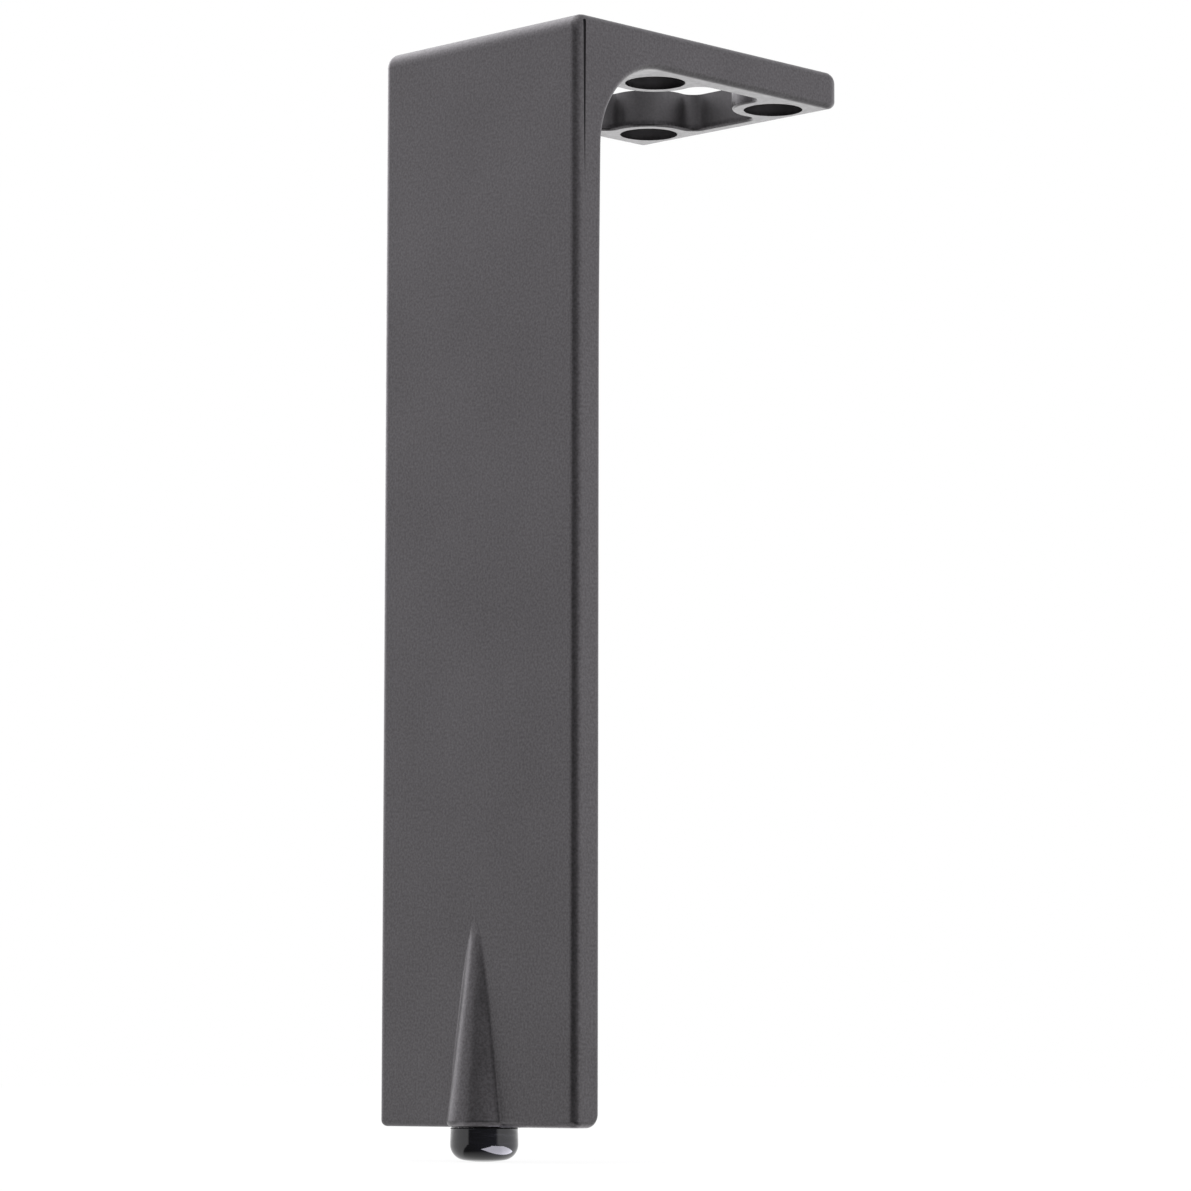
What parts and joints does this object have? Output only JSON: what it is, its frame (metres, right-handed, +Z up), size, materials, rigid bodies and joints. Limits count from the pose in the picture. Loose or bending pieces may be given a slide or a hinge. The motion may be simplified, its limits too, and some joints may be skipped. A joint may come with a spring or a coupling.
{
  "type": "adjustable furniture leg",
  "caption": "L-shaped cast furniture leg: flat upright, open screw-on frame at the top, conical boss with a screw-adjusted plastic glide at the foot.",
  "frame": {"origin": "centre of the four screw holes, on the top face that meets the cabinet", "axes": "+Z up, out of the top face; +X along the mounting frame, away from the upright; +Y across the leg"},
  "size_m": [0.0749, 0.0494, 0.2015],
  "materials": {
    "leg_paint": "satin graphite paint with a very fine grain, on cast zinc",
    "stud_steel": "zinc-plated steel thread",
    "glide_plastic": "black gloss plastic with fine scuffs"
  },
  "bodies": {
    "casting": {"leg_casting": "leg_paint"},
    "levelling_foot": {"levelling_stud": "stud_steel", "glide": "glide_plastic"}
  },
  "joints": [
    {"name": "foot_height", "type": "slide", "parent": "casting", "child": "levelling_foot", "axis": [0, 0, -1], "range_m": [0, 0.01]}
  ]
}
